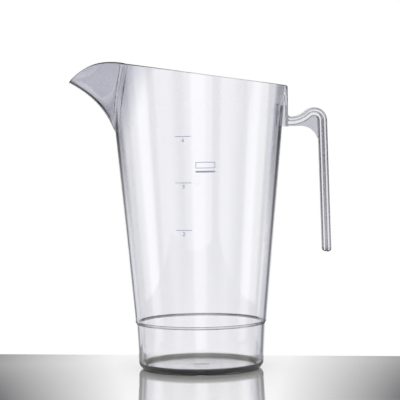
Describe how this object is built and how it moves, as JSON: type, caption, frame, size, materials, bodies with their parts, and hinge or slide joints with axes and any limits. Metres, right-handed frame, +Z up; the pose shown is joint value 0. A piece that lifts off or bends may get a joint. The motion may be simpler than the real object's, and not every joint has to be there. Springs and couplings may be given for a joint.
{
  "type": "beer pitcher",
  "caption": "Clear plastic pitcher with a tapered barrel, sloping rim, pulled-out spout, stepped stacking foot and open-ended handle.",
  "frame": {"origin": "on the jug's axis, in the plane of the surface that the foot ring stands on", "axes": "+Z up along the jug's axis, -X towards the spout, +X towards the handle, -Y towards the wall that carries the printed measures"},
  "size_m": [0.226, 0.1536, 0.2676],
  "materials": {
    "clear_plastic": "clear, polished polycarbonate",
    "print_ink": "screen-printed ink"
  },
  "bodies": {
    "root": {"barrel": "clear_plastic", "base_cup": "clear_plastic", "handle_bracket": "clear_plastic", "handle_grip": "clear_plastic", "handle_gusset": "clear_plastic", "rule_2_pint": "print_ink", "rule_3_pint": "print_ink", "rule_4_pint": "print_ink", "numeral_2_pint": "print_ink", "numeral_3_pint": "print_ink", "numeral_4_pint": "print_ink", "stamp_frame": "print_ink", "stamp_bar": "print_ink"}
  },
  "joints": []
}
